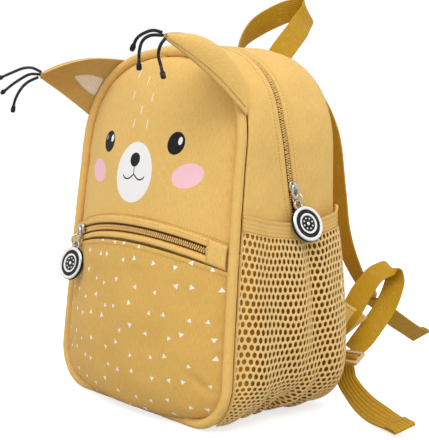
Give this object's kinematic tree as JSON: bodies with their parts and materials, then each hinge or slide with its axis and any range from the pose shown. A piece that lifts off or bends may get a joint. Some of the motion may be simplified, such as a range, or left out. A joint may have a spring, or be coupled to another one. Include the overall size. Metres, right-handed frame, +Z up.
{
  "type": "child's backpack",
  "caption": "Small child's backpack with an arched top, animal ears, a zipped main compartment, a zipped front pocket, open net side pockets, a carrying handle and webbing straps.",
  "frame": {"origin": "centre of the flat base, on the surface that the bag stands on", "axes": "+Z up, +Y towards the wearer's back, -Y out of the front pocket, +X to the right as one faces the front"},
  "size_m": [0.4372, 0.3227, 0.3701],
  "materials": {
    "canvas": "fine heathered canvas, matt",
    "net": "knitted net with a woven hem, matt",
    "webbing": "ribbed woven webbing with a slight sheen",
    "cord": "braided cord, matt",
    "inner": "printed cotton, matt",
    "plastic": "moulded, satin",
    "metal": "plated, bright",
    "charm": "enamelled disc with a pale rim",
    "coil": "zip teeth on woven tape"
  },
  "bodies": {
    "root": {"front_panel": "canvas", "pocket_panel": "canvas", "pocket_band_upper": "canvas", "pocket_zip": "coil", "pocket_band_lower": "canvas", "pocket_end_right": "canvas", "pocket_end_left": "canvas", "front_piping": "canvas", "gusset_front": "canvas", "gusset_back": "canvas", "base_gusset": "canvas", "main_zip": "coil", "back_panel": "canvas", "net_right": "net", "net_hem_right": "net", "shoulder_strap_right": "webbing", "strap_slider_right": "plastic", "strap_tail_right": "webbing", "strap_tab_right": "canvas", "webbing_loop_right": "webbing", "loop_slider_right": "plastic", "loop_tail_right": "webbing", "net_left": "net", "net_hem_left": "net", "shoulder_strap_left": "webbing", "strap_slider_left": "plastic", "strap_tail_left": "webbing", "strap_tab_left": "canvas", "webbing_loop_left": "webbing", "loop_slider_left": "plastic", "loop_tail_left": "webbing", "ear_right": "canvas", "ear_inner_right": "inner", "ear_left": "canvas", "ear_inner_left": "inner", "ear_cord_right_a": "cord", "ear_cord_right_b": "cord", "ear_cord_right_c": "cord", "ear_cord_left_a": "cord", "ear_cord_left_b": "cord", "ear_cord_left_c": "cord", "handle": "webbing", "main_slider": "metal", "main_pull": "metal", "main_ring": "metal", "main_charm": "charm", "pocket_slider": "metal", "pocket_pull": "metal", "pocket_ring": "metal", "pocket_charm": "charm"}
  },
  "joints": []
}
